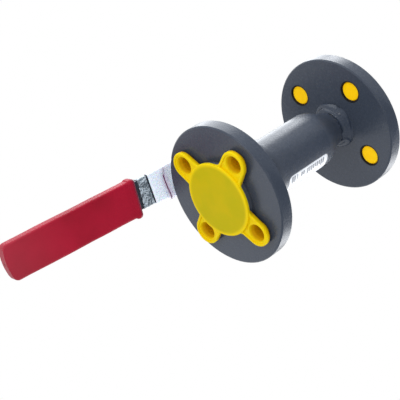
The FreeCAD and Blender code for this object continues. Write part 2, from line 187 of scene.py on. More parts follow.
def enamel(name, rough=0.22, specular=0.5, wear=0.30):
    paint = Finish(name)
    along = paint.axes()[0].size()
    swaged = along.rise(swage_from, swage_from + 0.0015) * along.fall(swage_to - 0.0002, swage_to)
    broad = paint.noise(38.0, 2.0)
    fine = paint.noise(420.0, 4.0, 0.6)
    worn = paint.edge_wear(0.0007) * paint.noise(160.0, 4.0, 0.65).rise(0.48, 0.72)
    body = paint.mix(broad, rgb(0.034, 0.045, 0.068), rgb(0.045, 0.058, 0.086))
    body = paint.mix(fine.rise(0.62, 0.80) * 0.2, body, enamel_speck)
    body = paint.mix(worn * wear, body, enamel_worn)
    return paint.surface({
        "Base Color": body, "Roughness": fine * 0.10 + swaged * 0.30 + rough,
        "Specular IOR Level": specular, "Normal": coat_normal(paint, orange_peel(paint))})


dress(enamel("enamel"), "body_tube", "stem_housing")


# Weld beads
# Each flange is held by a fillet laid right round the pipe behind it and a small bead
# inside its face; a thin seam closes the swaged end of the body, and a fillet follows
# the saddle line of the stem housing. The beads show their scales and lap where they meet.

def loft(name, rings, material, closed=True, smooth=True):
    """A surface through rings of points, one row of quads between each pair."""
    count = len(rings[0])
    corners = [point for ring in rings for point in ring]
    faces = []
    for row in range(len(rings) - 1):
        for column in range(count if closed else count - 1):
            beside = (column + 1) % count
            faces.append((
                row * count + column, row * count + beside,
                (row + 1) * count + beside, (row + 1) * count + column))
    mesh = bpy.data.meshes.new(name)
    mesh.from_pydata(corners, [], faces)
    mesh.polygons.foreach_set("use_smooth", [smooth] * len(faces))
    mesh.materials.append(material)
    piece = bpy.data.objects.new(name, mesh)
    bpy.context.scene.collection.objects.link(piece)
    return piece


def uneven(angle, waves, seed):
    """Smooth random values round a ring that meet where it closes, the same on each run."""
    return noise.noise(Vector((waves * math.cos(angle), waves * math.sin(angle), seed)))


scale_drop = 0.22
points_per_scale = 8
lap_length = 0.5
lap_edge = 0.05


def scales(angle, part, count, seed):
    """Height of the scales a welder leaves, 0 to 1: each rises slowly and drops at its end."""
    phase = angle / math.tau * count + 0.7 * uneven(angle, 3, seed) + 1.6 * (part - 0.5) ** 2
    through = phase % 1.0
    drop = min(1.0, (1.0 - through) / scale_drop)
    return math.sin(math.pi * part) * (0.25 + 0.75 * through) * drop


def lap(angle, at):
    """Near 1 where a bead has just run over its own start, sinking to 0 further round."""
    past = (angle - at) % math.tau
    return max(0.0, 1.0 - past / lap_length) * min(1.0, past / lap_edge)


bead_stand = 0.02
lap_stand = 0.14
run_stand = 0.045
run_drift = 0.09


def bead_rings(corners, count, scale_height, lap_at, wobble, two_runs):
    """A bead round the pipe between toes given as (along, radius), laid in one run or two."""
    (toe_x, toe_r), (end_x, end_r) = corners
    length = math.hypot(end_x - toe_x, end_r - toe_r)
    out_x = (toe_r - end_r) / length
    out_r = (end_x - toe_x) / length
    if out_r < 0:
        out_x, out_r = -out_x, -out_r
    rows = 20
    steps = count * points_per_scale
    rings = []
    for row in range(rows + 1):
        part = row / rows
        ring = []
        for step in range(steps):
            angle = step / steps * math.tau
            spread = uneven(angle, 2, toe_r * 900 + 9 * part)
            reach = part + wobble * spread * (1 if part > 0.5 else -1) * abs(2 * part - 1)
            start = lap_at + 0.3 * (2 * part - 1) ** 2
            stand = math.sin(math.pi * part) * (bead_stand + lap_stand * lap(angle, start)) * length
            if two_runs:
                drift = uneven(angle, 1.3, 7.0)
                split = min(0.75, max(0.25, 0.5 + 0.35 * drift))
                hump = math.sin(math.pi * min(part / split, (1 - part) / (1 - split)))
                stand += (run_stand + run_drift * drift) * hump * length
            stand += scale_height * scales(angle, part, count, toe_r * 1000)
            along = toe_x + (end_x - toe_x) * reach + out_x * stand
            radius = toe_r + (end_r - toe_r) * reach + out_r * stand
            ring.append(Vector((along, radius * math.cos(angle), radius * math.sin(angle))))
        rings.append(ring)
    return rings


flange_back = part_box("front_flange")[0].x
pipe_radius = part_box("front_pipe")[1].z
pipe_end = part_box("front_pipe")[1].x
swage_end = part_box("body_tube")[1].x
bite = 0.0001
fillet_leg = 0.0057
fillet_scales = 46
fillet_scale_height = 0.00022
seam_scales = 64
root_scales = 40
seam_length = 0.0017
seam_height = 0.0015
root_length = 0.0028
root_height = 0.0024
small_scale_height = 0.00008
flange_lap = 5.35
weld_enamel = enamel("weld_enamel", rough=0.10, specular=0.34, wear=0.10)

fillet_toes = (
    (flange_back - fillet_leg, pipe_radius - bite), (flange_back + bite, pipe_radius + fillet_leg))
seam_toes = (
    (swage_end + seam_length, pipe_radius - bite), (swage_end - bite, pipe_radius + seam_height))
root_toes = (
    (pipe_end + root_length, pipe_radius + bite), (pipe_end - bite, pipe_radius - root_height))
beads = (
    ("fillet", fillet_toes, fillet_scales, fillet_scale_height, 0.14),
    ("seam", seam_toes, seam_scales, small_scale_height, 0.04),
    ("root_bead", root_toes, root_scales, small_scale_height, 0.03))

for end, facing in (("front", 1), ("rear", -1)):
    for kind, toes, count, height, wobble in beads:
        rings = bead_rings(toes, count, height, flange_lap, wobble, kind == "fillet")
        rings = [[Vector((facing * p.x, facing * p.y, p.z)) for p in ring] for ring in rings]
        bead = loft(end + "_" + kind, rings, weld_enamel)
        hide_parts(end + "_flange_weld")
        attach(bead, "valve_body")

body_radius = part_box("body_tube")[1].y
housing_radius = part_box("stem_housing")[1].y
saddle_leg = 0.0032
saddle_wobble = 0.0003
saddle_scales = 44
saddle_scale_height = 0.00018
saddle_lap = 0.9
saddle_lap_height = 0.0004


def saddle_rings():
    """A fillet round the tower whose outer toe follows the tube's curve."""
    rings = []
    rows = 14
    steps = saddle_scales * points_per_scale
    for row in range(rows + 1):
        part = row / rows
        ring = []
        for step in range(steps):
            angle = step / steps * math.tau
            leg = saddle_leg + saddle_wobble * uneven(angle, 2, 4.0)
            out = housing_radius - bite + leg * part
            x = out * math.cos(angle)
            y = out * math.sin(angle)
            on_tube = math.sqrt(body_radius ** 2 - y ** 2) - bite
            stand = leg * (1 - part) ** 1.25
            stand += saddle_scale_height * scales(angle, part, saddle_scales, 2.0)
            stand += saddle_lap_height * lap(angle, saddle_lap) * math.sin(math.pi * part)
            ring.append(Vector((x, y, on_tube + stand)))
        rings.append(ring)
    return rings


saddle = loft("saddle_bead", saddle_rings(), weld_enamel)
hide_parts("housing_weld")
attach(saddle, "valve_body")


# Flanges
# The same enamel, over lathe marks that show faintly on the flat faces. The raised
# sealing face under the protector is bare steel with a fine spiral groove. Behind the
# flange, the rim of each bolt hole carries a painted shadow, nearly black.

bolt_circle = 0.065
hole_place = bolt_circle / 2 * math.sqrt(0.5)
hole_radius = 0.0070
sealing_plane = 0.0622
raised_radius = 0.0225
back_edge = 0.0514


def flange_enamel():
    paint = Finish("flange_enamel")
    x, y, z = paint.axes()
    radius = (y * y + z * z).math("SQRT")
    on_plane = x.size().rise(sealing_plane - 0.0004, sealing_plane)
    sealing = on_plane * radius.fall(raised_radius - 0.0003, raised_radius + 0.0003)
    broad = paint.noise(30.0, 2.0)
    fine = paint.noise(420.0, 4.0, 0.6)
    worn = paint.edge_wear(0.0008) * paint.noise(140.0, 4.0, 0.65).rise(0.48, 0.72)
    body = paint.mix(broad, rgb(0.044, 0.055, 0.078), rgb(0.054, 0.066, 0.091))
    body = paint.mix(fine.rise(0.62, 0.80) * 0.2, body, enamel_speck)
    body = paint.mix(worn * 0.30, body, enamel_worn)
    body = paint.mix(sealing, body, rgb(0.42, 0.42, 0.42))
    off_y = y.size() - hole_place
    off_z = z.size() - hole_place
    from_hole = (off_y * off_y + off_z * off_z).math("SQRT")
    # Painted shadow: a nearly black ring round each bolt hole on the back of the flange.
    hole_shadow_rim = from_hole.fall(hole_radius + 0.0005, hole_radius + 0.0010)
    hole_shadow = hole_shadow_rim * x.size().fall(back_edge, back_edge + 0.0004)
    body = paint.mix(hole_shadow, body, rgb(0.004, 0.004, 0.003))
    lathe = (radius * 9000.0 + paint.noise(60.0) * 2.0).wave()
    peel = orange_peel(paint) + lathe * 0.12
    height = peel * (1.0 - sealing) + lathe * sealing * 3.0
    return paint.surface({
        "Base Color": body, "Roughness": fine * 0.10 + hole_shadow * 0.4 + 0.22, "Metallic": sealing * 0.9,
        "Specular IOR Level": 0.28, "Normal": coat_normal(paint, height)})


dress(flange_enamel(), "front_flange", "rear_flange")


# Bare metal inside
# Drawn pipe, turned carriers, hardened springs, a polished ball, and a stem whose end
# carries a thread. The nut and the spring washer are bright with zinc.

thread_pitch = 0.00125
thread_root = 0.0035


def metal(name, colour, rough, scratch=0.15, thread_from=None):
    steel = Finish(name)
    x, y, z = steel.axes()
    along = steel.node("CombineXYZ", inputs=[x * 30.0, y * 900.0, z * 900.0])
    brushed = steel.noise(1.0, 4.0, 0.6, along)
    cloud = steel.noise(120.0, 3.0)
    tint = steel.mix(cloud * 0.5, rgb(*colour), rgb(*(0.72 * c for c in colour)))
    height = brushed * scratch
    if thread_from is not None:
        radius = (x * x + y * y).math("SQRT")
        turn = y.math("ARCTAN2", x) / math.tau
        ridge = ((z / thread_pitch - turn) * math.tau).wave()
        thread = ridge * z.rise(thread_from, thread_from + 0.0004)
        height = height + thread * radius.rise(thread_root, thread_root + 0.0003) * 3.0
    normal = steel.bump(height, 0.5, 0.0003, steel.soft_edges(0.0002))
    return steel.surface({
        "Base Color": tint, "Metallic": 1.0, "Roughness": brushed * 0.16 + rough, "Normal": normal})


nut_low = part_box("lever_nut")[0].z
dress(metal("pipe_steel", (0.42, 0.42, 0.43), rough=0.38), "front_pipe", "rear_pipe")
dress(metal("turned_steel", (0.50, 0.50, 0.50), rough=0.30),
      "front_seat_carrier", "rear_seat_carrier", "stop_pin")
dress(metal("spring_steel", (0.28, 0.29, 0.31), rough=0.28),
      "front_disc_spring", "rear_disc_spring")
dress(metal("polished_ball", (0.78, 0.78, 0.78), rough=0.06, scratch=0.02), "ball")
dress(metal("stem_steel", (0.62, 0.61, 0.59), rough=0.24, thread_from=nut_low), "stem")
dress(metal("zinc_plate", (0.66, 0.68, 0.70), rough=0.26, scratch=0.08),
      "lever_nut", "spring_washer")


# Seats, seals and bush
# Ball seats, bush and washer turned from a cream-grey filled polymer with a faint
# bloom, and moulded seals and rings of matt black rubber.

def soft_seal(name, colour, rough):
    seal = Finish(name)
    bloom = seal.noise(260.0, 4.0, 0.6)
    paler = [min(1.0, 1.25 * part + 0.01) for part in colour]
    tint = seal.mix(bloom.rise(0.35, 0.75), rgb(*colour), rgb(*paler))
    normal = seal.bump(seal.noise(1600.0, 2.0), 0.12, 0.0003)
    return seal.surface({"Base Color": tint, "Roughness": bloom * 0.15 + rough, "Normal": normal})


dress(soft_seal("seat_polymer", (0.55, 0.53, 0.48), rough=0.42),
      "front_seat", "rear_seat", "stem_bush", "thrust_washer")
dress(soft_seal("seal_rubber", (0.016, 0.016, 0.017), rough=0.55),
      "front_seat_seal", "rear_seat_seal", "stem_o_rings")


# Flange protectors
# Moulded yellow polythene, coloured darker and greener on the disc's face than on its
# ears, with the faint swirl of a cheap moulding. The thin ends of the plugs carry a
# painted glow, a brighter yellow and an orange emission for light coming through them.

disc_face = 0.0655
disc_radius = 0.0246
plug_floor = 0.0525
ear_floor = 0.0645


def polythene():
    wax = Finish("yellow_polythene")
    x, y, z = wax.axes()
    radius = (y * y + z * z).math("SQRT")
    swirl = wax.noise(55.0, 4.0, 0.55)
    speck = wax.noise(900.0, 3.0, 0.6)
    on_face = x.size().rise(disc_face, disc_face + 0.0003)
    disc = on_face * radius.fall(disc_radius - 0.0028, disc_radius)
    # Painted glow on the plug ends: a brighter yellow here and an orange emission below.
    glowing_plug_tip = x.size().fall(plug_floor - 0.0005, plug_floor)
    tint = wax.mix(swirl, rgb(0.86, 0.62, 0.002), rgb(0.94, 0.69, 0.003))
    face = wax.mix(swirl.rise(0.35, 0.65), rgb(0.55, 0.455, 0.001), rgb(0.62, 0.475, 0.001))
    tint = wax.mix(disc, tint, face)
    tint = wax.mix(glowing_plug_tip, tint, rgb(1.0, 0.66, 0.004))
    # Painted shade: the walls inside the plug holes, between the plug end and the ear's floor, are
    # painted dark orange.
    past_plug = x.size().rise(plug_floor, plug_floor + 0.0005)
    cavity_shade = past_plug * x.size().fall(ear_floor - 0.0020, ear_floor)
    tint = wax.mix(cavity_shade, tint, rgb(0.66, 0.37, 0.001))
    tint = wax.mix(speck.rise(0.64, 0.82) * 0.2, tint, rgb(0.62, 0.47, 0.01))
    flow = (radius * 2600.0 + swirl * 9.0).wave()
    height = speck * 0.7 + swirl * 1.2 + flow * 0.15
    normal = wax.bump(height, 0.14, 0.0006, wax.soft_edges(0.0003))
    painted_glow = wax.mix(glowing_plug_tip, rgb(0.0, 0.0, 0.0), rgb(0.20, 0.065, 0.0))
    return wax.surface({
        "Base Color": tint, "Roughness": speck * 0.14 + 0.40, "Normal": normal,
        "Specular IOR Level": 0.06, "Emission Color": painted_glow, "Emission Strength": 1.0,
        "Subsurface Weight": 0.2, "Subsurface Scale": 0.0012,
        "Subsurface Radius": (1.0, 0.55, 0.08)})


dress(polythene(), "front_cap", "rear_cap")


# Lever
# Flat strip with a dark phosphate skin, drawn marks along its length and brighter
# metal where its edges were sheared.

def lever_strip():
    strip = Finish("lever_strip")
    x, y, z = strip.axes()
    along = strip.node("CombineXYZ", inputs=[x * 40.0, y * 1400.0, z * 400.0])
    drawn = strip.noise(1.0, 5.0, 0.6, along)
    cloud = strip.noise(70.0, 4.0, 0.6)
    sheared = strip.edge_wear(0.0007) * strip.noise(300.0, 3.0).rise(0.35, 0.6)
    tint = strip.mix(cloud, rgb(0.026, 0.032, 0.046), rgb(0.044, 0.052, 0.069))
    tint = strip.mix(sheared * 0.6, tint, rgb(0.36, 0.38, 0.40))
    normal = strip.bump(drawn, 0.25, 0.0003, strip.soft_edges(0.0003))
    return strip.surface({
        "Base Color": tint, "Metallic": 0.5, "Roughness": drawn * 0.2 + 0.32, "Normal": normal})


dress(lever_strip(), "lever")

lever_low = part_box("lever")[0]
lever_rise = math.radians(10.6)
lever_half_thick = 0.002
lever_half_wide = 0.010
bend_place = 0.016
bend = Vector((bend_place, 0.0, lever_low.z + lever_half_thick))


def on_bar(along, across, up):
    """A point by its distance from the lever's bend, across it, and off its middle plane."""
    return bend + Vector((
        along * math.cos(lever_rise) - up * math.sin(lever_rise),
        across,
        along * math.sin(lever_rise) + up * math.cos(lever_rise)))


# Lever grip
# A sleeve of soft red vinyl with flat faces, small round edges, a crowned closed end
# and a rolled bead at its mouth. Dipping leaves it faintly wavy and satin. Its colour
# carries painted shade along the mouth and a paler painted sheen towards the closed end.

corner_steps = 6
wide_side_steps = 14
narrow_side_steps = 4


def flat_tube_ring(half_wide, half_thick, corner):
    """Points round a flat tube's section with round corners, as (across, up) vectors."""
    corner = min(corner, 0.999 * half_thick)
    sides = ((1, 1), (-1, 1), (-1, -1), (1, -1))
    arcs = []
    for quarter, (side, top) in enumerate(sides):
        middle = Vector((side * (half_wide - corner), top * (half_thick - corner)))
        turns = [(quarter + step / corner_steps) * math.pi / 2 for step in range(corner_steps + 1)]
        arcs.append([middle + corner * Vector((math.cos(turn), math.sin(turn))) for turn in turns])
    ring = []
    for quarter, arc in enumerate(arcs):
        goal = arcs[(quarter + 1) % 4][0]
        runs = wide_side_steps if quarter in (0, 2) else narrow_side_steps
        ring += arc + [arc[-1].lerp(goal, step / runs) for step in range(1, runs)]
    return ring


def rounding(radius, left):
    """How far a round edge has drawn in, that far short of its end."""
    return radius - math.sqrt(radius ** 2 - (radius - left) ** 2)


grip_mouth = 0.0480
grip_drop = -0.0003
grip_length = 0.1030
grip_half_wide = 0.0130
grip_half_thick = 0.0047
grip_edge = 0.0018
grip_end_edge = 0.0009
grip_corner = 0.0030
grip_crown = 0.0021
mouth_slant = -0.09
slant_length = 0.04
mouth_bead_length = 0.0050
mouth_bead_height = 0.0011
mouth_bead_shift = -0.0003
mouth_inset = 0.0009
mouth_inside = (
    (0.0120, 0.0003, 0.0003, 0.0006), (0.0060, 0.0003, 0.0003, 0.0006),
    (0.0015, 0.0003, 0.0003, 0.0006), (0.0004, 0.0007, 0.0006, 0.0008),
    (0.0, 0.0013, 0.0012, 0.0012))
grip_wave = 0.00022
grip_ripple = 0.00006
painted_sheen_from = 0.105
painted_sheen_to = 0.180


def vinyl():
    skin = Finish("red_vinyl")
    broad = skin.noise(28.0, 3.0)
    grain = skin.noise(1300.0, 3.0, 0.6)
    x, y, z = skin.axes()
    tint = skin.mix(broad.rise(0.25, 0.75), rgb(0.28, 0.001, 0.015), rgb(0.40, 0.003, 0.026))
    # Painted sheen: towards the closed end the red is painted paler and greyer, for the bright
    # reflection the sleeve catches there.
    tint = skin.mix(x.rise(painted_sheen_from, painted_sheen_to) * 0.6, tint, rgb(0.38, 0.036, 0.055))
    along = (x - bend.x) * math.cos(lever_rise) + (z - bend.z) * math.sin(lever_rise)
    # Painted shade: the sleeve darkens to a deep purple along its mouth, where the bead rolls in
    # towards the bar.
    mouth_shade = (along - y * mouth_slant).fall(grip_mouth + 0.0006, grip_mouth + 0.0030)
    tint = skin.mix(mouth_shade * 0.7, tint, rgb(0.10, 0.012, 0.035))
    tint = skin.mix(grain.rise(0.60, 0.8) * 0.15, tint, rgb(0.45, 0.04, 0.07))
    height = grain * 0.5 + skin.noise(60.0, 2.0) * 3.0
    normal = skin.bump(height, 0.05, 0.0006)
    return skin.surface({
        "Base Color": tint, "Roughness": grain * 0.14 + 0.44, "Normal": normal,
        "Specular IOR Level": 0.15, "Sheen Weight": 0.12, "Sheen Roughness": 0.35,
        "Sheen Tint": rgb(1.0, 0.92, 0.95)})


def grip_ring(along, half_wide, half_thick, edge, crown=0.0):
    """One ring of the sleeve, askew near the mouth and set back by the crown at its end."""
    ring = []
    for across, up in flat_tube_ring(half_wide, half_thick, edge):
        set_back = crown * (across / grip_half_wide) ** 2
        askew = mouth_slant * across * max(0.0, 1 - along / slant_length)
        place = on_bar(grip_mouth + along + askew - set_back, across, up)
        wave = noise.noise(place * 55.0) * grip_wave + noise.noise(place * 160.0) * grip_ripple
        ring.append(place + Vector((0, wave + grip_drop, wave)))
    return ring


def grip_rings():
    """The sleeve from inside its mouth, over the bead and along the bar, to its closed end."""
    rings = []
    for depth, room_wide, room_thick, edge in mouth_inside:
        rings.append(grip_ring(
            depth, lever_half_wide + room_wide, lever_half_thick + room_thick, edge))
    rounds = 14
    for step in range(rounds + 1):
        angle = step / rounds * math.pi
        along = mouth_bead_length / 2 * (1 - math.cos(angle))
        out = mouth_bead_height * math.sin(angle) - mouth_inset * (1 - step / rounds) ** 3
        ring = grip_ring(along, grip_half_wide + out, grip_half_thick + out, grip_edge + out)
        rings.append([point + Vector((0, mouth_bead_shift * math.sin(angle), 0)) for point in ring])
    straight = grip_length - grip_corner - mouth_bead_length
    stretches = 24
    for step in range(1, stretches + 1):
        along = mouth_bead_length + straight * step / stretches
        crown = grip_crown * (step / stretches) ** 6
        rings.append(grip_ring(along, grip_half_wide, grip_half_thick, grip_edge, crown))
    for step in range(1, rounds + 1):
        left = grip_corner * (1 - step / rounds) ** 2
        half_wide = grip_half_wide - rounding(grip_corner, left)
        half_thick = grip_half_thick
        if left < grip_end_edge:
            half_thick -= rounding(grip_end_edge, left)
        rings.append(grip_ring(grip_length - left, half_wide, half_thick, grip_edge, grip_crown))
    for share in (0.8, 0.55, 0.3, 0.08):
        rings.append(grip_ring(
            grip_length, (grip_half_wide - grip_corner) * share,
            (grip_half_thick - grip_end_edge) * share, grip_edge, grip_crown))
    return rings


grip = loft("soft_grip", grip_rings(), vinyl())
smoothed = grip.modifiers.new("smooth", "SUBSURF")
smoothed.levels = smoothed.render_levels = 1
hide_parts("lever_grip")
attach(grip, "lever_set")


# Instruction leaflet
# A white sheet folded small and rolled rather more than one and a half times round the
# lever, a little askew and wider towards the stem, with soft creases and pale printed bars.

def paper():
    sheet = Finish("leaflet_paper")
    x = sheet.axes()[0]
    cloud = sheet.noise(140.0, 4.0, 0.6)
    row = (x * 2600.0).wave().rise(0.55, 0.75)
    broken = sheet.noise(900.0, 2.0).rise(0.50, 0.60)
    ink = row * broken * sheet.noise(60.0, 1.0).rise(0.50, 0.58)
    tint = sheet.mix(cloud, rgb(0.92, 0.94, 1.0), rgb(0.97, 0.98, 1.0))
    tint = sheet.mix(ink * 0.10, tint, rgb(0.46, 0.48, 0.60))
    normal = sheet.bump(sheet.noise(300.0, 4.0, 0.6), 0.3, 0.0006)
    # Painted glow: a faint blue-white emission lifts the paper above its lighting.
    return sheet.surface({
        "Base Color": tint, "Roughness": cloud * 0.1 + 0.55, "Normal": normal,
        "Emission Color": rgb(0.03, 0.05, 0.10), "Emission Strength": 1.0,
        "Subsurface Weight": 0.15, "Subsurface Scale": 0.0005})


def wrap_point(share, half_wide, half_thick, corner):
    """A point part of the way round a flat rounded tube."""
    ring = flat_tube_ring(half_wide, half_thick, corner)
    spot = (share % 1.0) * len(ring)
    first = ring[int(spot) % len(ring)]
    second = ring[(int(spot) + 1) % len(ring)]
    return first.lerp(second, spot - int(spot))


leaflet_start = 0.0042
leaflet_end = 0.0352
leaflet_turns = 1.62
leaflet_seam = 0.30
leaflet_swell = 0.0007
leaflet_clear = 0.00022
leaflet_layer = 0.00034
leaflet_thickness = 0.00012
leaflet_corner = 0.0011
leaflet_drift = 0.0005
leaflet_crease = 0.00016
leaflet_wave = 0.00018
wrap_slant = -0.02
wrap_slack = 0.0022
slack_from = 0.004
slack_length = 0.034


def sag(along, across):
    """The wrap hangs slack on one side, more so towards the stem."""
    slack = max(0.0, 1.0 - (along - slack_from) / slack_length)
    return Vector((0, -wrap_slack * slack * max(0.0, -across / lever_half_wide) ** 2, 0))


def leaflet_rings():
    rings = []
    rows = 32
    steps = 160
    for row in range(rows + 1):
        part = row / rows
        along = leaflet_start + (leaflet_end - leaflet_start) * part
        ring = []
        for step in range(steps + 1):
            turn = step / steps * leaflet_turns
            layer = leaflet_clear + leaflet_layer * turn
            swell = leaflet_swell * (1 - part)
            half_wide = lever_half_wide + layer + swell
            half_thick = lever_half_thick + layer + swell * 0.6
            across, up = wrap_point(turn + leaflet_seam, half_wide, half_thick, leaflet_corner)
            place = on_bar(along + leaflet_drift * turn + wrap_slant * across, across, up)
            crease = noise.noise(place * 210.0) * leaflet_crease
            crease += noise.noise(place * 90.0) * leaflet_wave
            away = Vector((0, across, up)).normalized()
            ring.append(place + away * crease + sag(along, across))
        rings.append(ring)
    return rings


leaflet = loft("folded_leaflet", leaflet_rings(), paper(), closed=False)
thicken = leaflet.modifiers.new("paper", "SOLIDIFY")
thicken.thickness = leaflet_thickness
thicken.offset = 0.0
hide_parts("instruction_leaflet")
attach(leaflet, "lever_set")


# Press-seal bag
# Thin clear film rolled loosely round the leaflet, wrinkled, whiter where it folds. Its
# mouth lies across the lever: a doubled flap whose corner stands out past the edge,
# closed by a narrow coloured press-seal line.

def grazing_sheen(clear):
    """1 where film is seen nearly edge on and 0 face on: a painted sheen that whitens it."""
    return clear.node("LayerWeight", {}, {"Blend": 0.5}, output="Facing").rise(0.40, 0.72)


crease_scale = 260.0


def film(name, haze):
    """Clear film: mostly see-through, white along its creases, with a painted sheen where it is
    seen edge on.
    """
    clear = Finish(name)
    x, y, z = [value * crease_scale for value in clear.axes()]
    one_way = clear.node("CombineXYZ", inputs=[x + y * 0.6, (y - x) * 0.3, z])
    other_way = clear.node("CombineXYZ", inputs=[x - y * 0.8, (x + y) * 0.3, z])
    crease = clear.noise(1.0, 3.0, 0.6, one_way).rise(0.54, 0.68)
    crease = crease.math("MAXIMUM", clear.noise(1.2, 3.0, 0.6, other_way).rise(0.56, 0.70))
    cover = (crease * 0.42 + grazing_sheen(clear) * 0.5 + haze).math("MINIMUM", 0.92)
    tint = clear.mix(crease, rgb(0.94, 0.96, 1.0), rgb(0.98, 0.99, 1.0))
    normal = clear.bump(crease, 0.3, 0.0006)
    return clear, {
        "Base Color": tint, "Roughness": 0.16, "Alpha": cover, "Normal": normal,
        "Specular IOR Level": 0.5}


bag_start = 0.0027
bag_end = 0.0356
bag_room_wide = 0.00175
bag_room_thick = 0.00165
bag_draw_wide = 0.0011
bag_draw_thick = 0.0012
bag_corner = 0.0013
bag_wrinkle = 0.00022
bag_wave = 0.0004


def bag_rings():
    rings = []
    rows = 36
    for row in range(rows + 1):
        part = row / rows
        along = bag_start + (bag_end - bag_start) * part
        drawn_in = part ** 5
        half_wide = lever_half_wide + bag_room_wide - bag_draw_wide * drawn_in
        half_thick = lever_half_thick + bag_room_thick - bag_draw_thick * drawn_in
        ring = []
        for across, up in flat_tube_ring(half_wide, half_thick, bag_corner):
            place = on_bar(along + wrap_slant * across, across, up)
            wrinkle = noise.noise(place * 260.0) * bag_wrinkle
            wrinkle += abs(noise.noise(place * 120.0)) * bag_wave
            away = Vector((0, across, up)).normalized()
            ring.append(place + away * wrinkle + sag(along, across))
        rings.append(ring)
    return rings


bag_film, bag_values = film("bag_film", haze=0.03)
bag = loft("seal_bag", bag_rings(), bag_film.surface(bag_values))
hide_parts("leaflet_bag")
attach(bag, "lever_set")

seal_along = 0.0250
flap_depth = 0.0085
flap_lip = 0.0016
flap_ends = (-0.0130, 0.0104)
flap_below = 0.0021
flap_layer = 0.0004
flap_ripple = 0.0004
flap_rise = 0.35
droop_near = 0.0050
droop_far = -0.0040


def droop(across, above):
    """How far the seal line falls back towards the stem beyond the lever's edges."""
    return above(across - droop_near) * 0.40 + above(droop_far - across) * 0.12


def seal_film():
    """The flap's film: a purple press-seal line near its edge and a lilac tint beside it."""
    clear, values = film("seal_film", haze=0.10)
    x, y, z = clear.axes()
    along = (x - bend.x) * math.cos(lever_rise) + (z - bend.z) * math.sin(lever_rise)
    behind = seal_along - droop(y, lambda value: value.math("MAXIMUM", 0.0)) - along
    line = behind.size().fall(0.00034, 0.00056)
    faded = y.fall(0.0050, 0.0066) * 0.5 + 0.5
    tinted = behind.rise(-0.0034, -0.0004) * behind.fall(0.0018, 0.0036) * faded
    tint = clear.mix(tinted * 0.6, values["Base Color"], rgb(0.84, 0.66, 0.84))
    values["Base Color"] = clear.mix(line * faded, tint, rgb(0.13, 0.012, 0.085))
    values["Alpha"] = (values["Alpha"] + tinted * 0.25 + line * faded).math("MINIMUM", 0.96)
    return clear.surface(values)


def flap_rings():
    """Two layers of film over the lever's under side, joined at the seal and at both corners."""
    rings = []
    low = -lever_half_thick - flap_below
    first, last = flap_ends
    rows = 12
    steps = 60
    for layer in (0, 1):
        for row in range(rows + 1):
            part = row / rows if layer == 0 else 1 - row / rows
            ring = []
            for step in range(steps + 1):
                side = step / steps
                across = first + (last - first) * side
                along = seal_along + flap_lip - droop(across, lambda value: max(0.0, value))
                along -= (flap_lip + flap_depth) * part
                beyond = max(0.0, abs(across) - lever_half_wide + 0.001)
                ends = math.sin(math.pi * min(1.0, 8 * min(side, 1 - side)) / 2)
                place = on_bar(along, across, low)
                ripple = noise.noise(Vector((across * 220, part * 2.5, 3.0 + layer)))
                gap = flap_layer * layer * ends * math.sin(math.pi * part)
                lift = beyond * flap_rise + flap_ripple * ripple - gap
                ring.append(place + Vector((0.0, 0.0, lift)))
            rings.append(ring)
    return rings


flap = loft("bag_mouth", flap_rings(), seal_film(), closed=False)
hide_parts("leaflet_bag")
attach(flap, "lever_set")


# Crumpled end of the bag
# The bag's loose end is gathered on the bare lever next to the grip, creased hard
# enough to show the dark steel between the bright lines of its folds; those lines are
# partly the film's own whitening and partly painted highlights.

crumple_start = 0.0371
crumple_end = 0.0449
crumple_slant = -0.10
crumple_clear = 0.0003
fold_turns = (0.60, -0.75, 0.15)
fold_height = 0.0003


def creases(along, across):
    """Height of the film's sharp folds, 0 to 1: ridges that cross one another on the slant."""
    height = 0.0
    for number, turn in enumerate(fold_turns):
        with_fold = along * math.cos(turn) + across * math.sin(turn)
        over_fold = across * math.cos(turn) - along * math.sin(turn)
        wave = noise.noise(Vector((with_fold * 50, over_fold * 300, 4 * number + 1)))
        height = max(height, 1.0 - min(1.0, abs(wave) / 0.22))
    return height


def crumple_rings():
    rings = []
    rows = 64
    edge = flat_tube_ring(lever_half_wide + crumple_clear, lever_half_thick + crumple_clear, 0.0006)
    around = [
        first.lerp(second, part / 4)
        for first, second in zip(edge, edge[1:] + edge[:1]) for part in range(4)]
    for row in range(rows + 1):
        part = row / rows
        along = crumple_start + (crumple_end - crumple_start) * part
        ring = []
        for across, up in around:
            place = on_bar(along + crumple_slant * across * part, across, up)
            away = Vector((0, across / 4, up)).normalized()
            ring.append(place + away * fold_height * creases(along, across + 3 * up))
        rings.append(ring)
    return rings


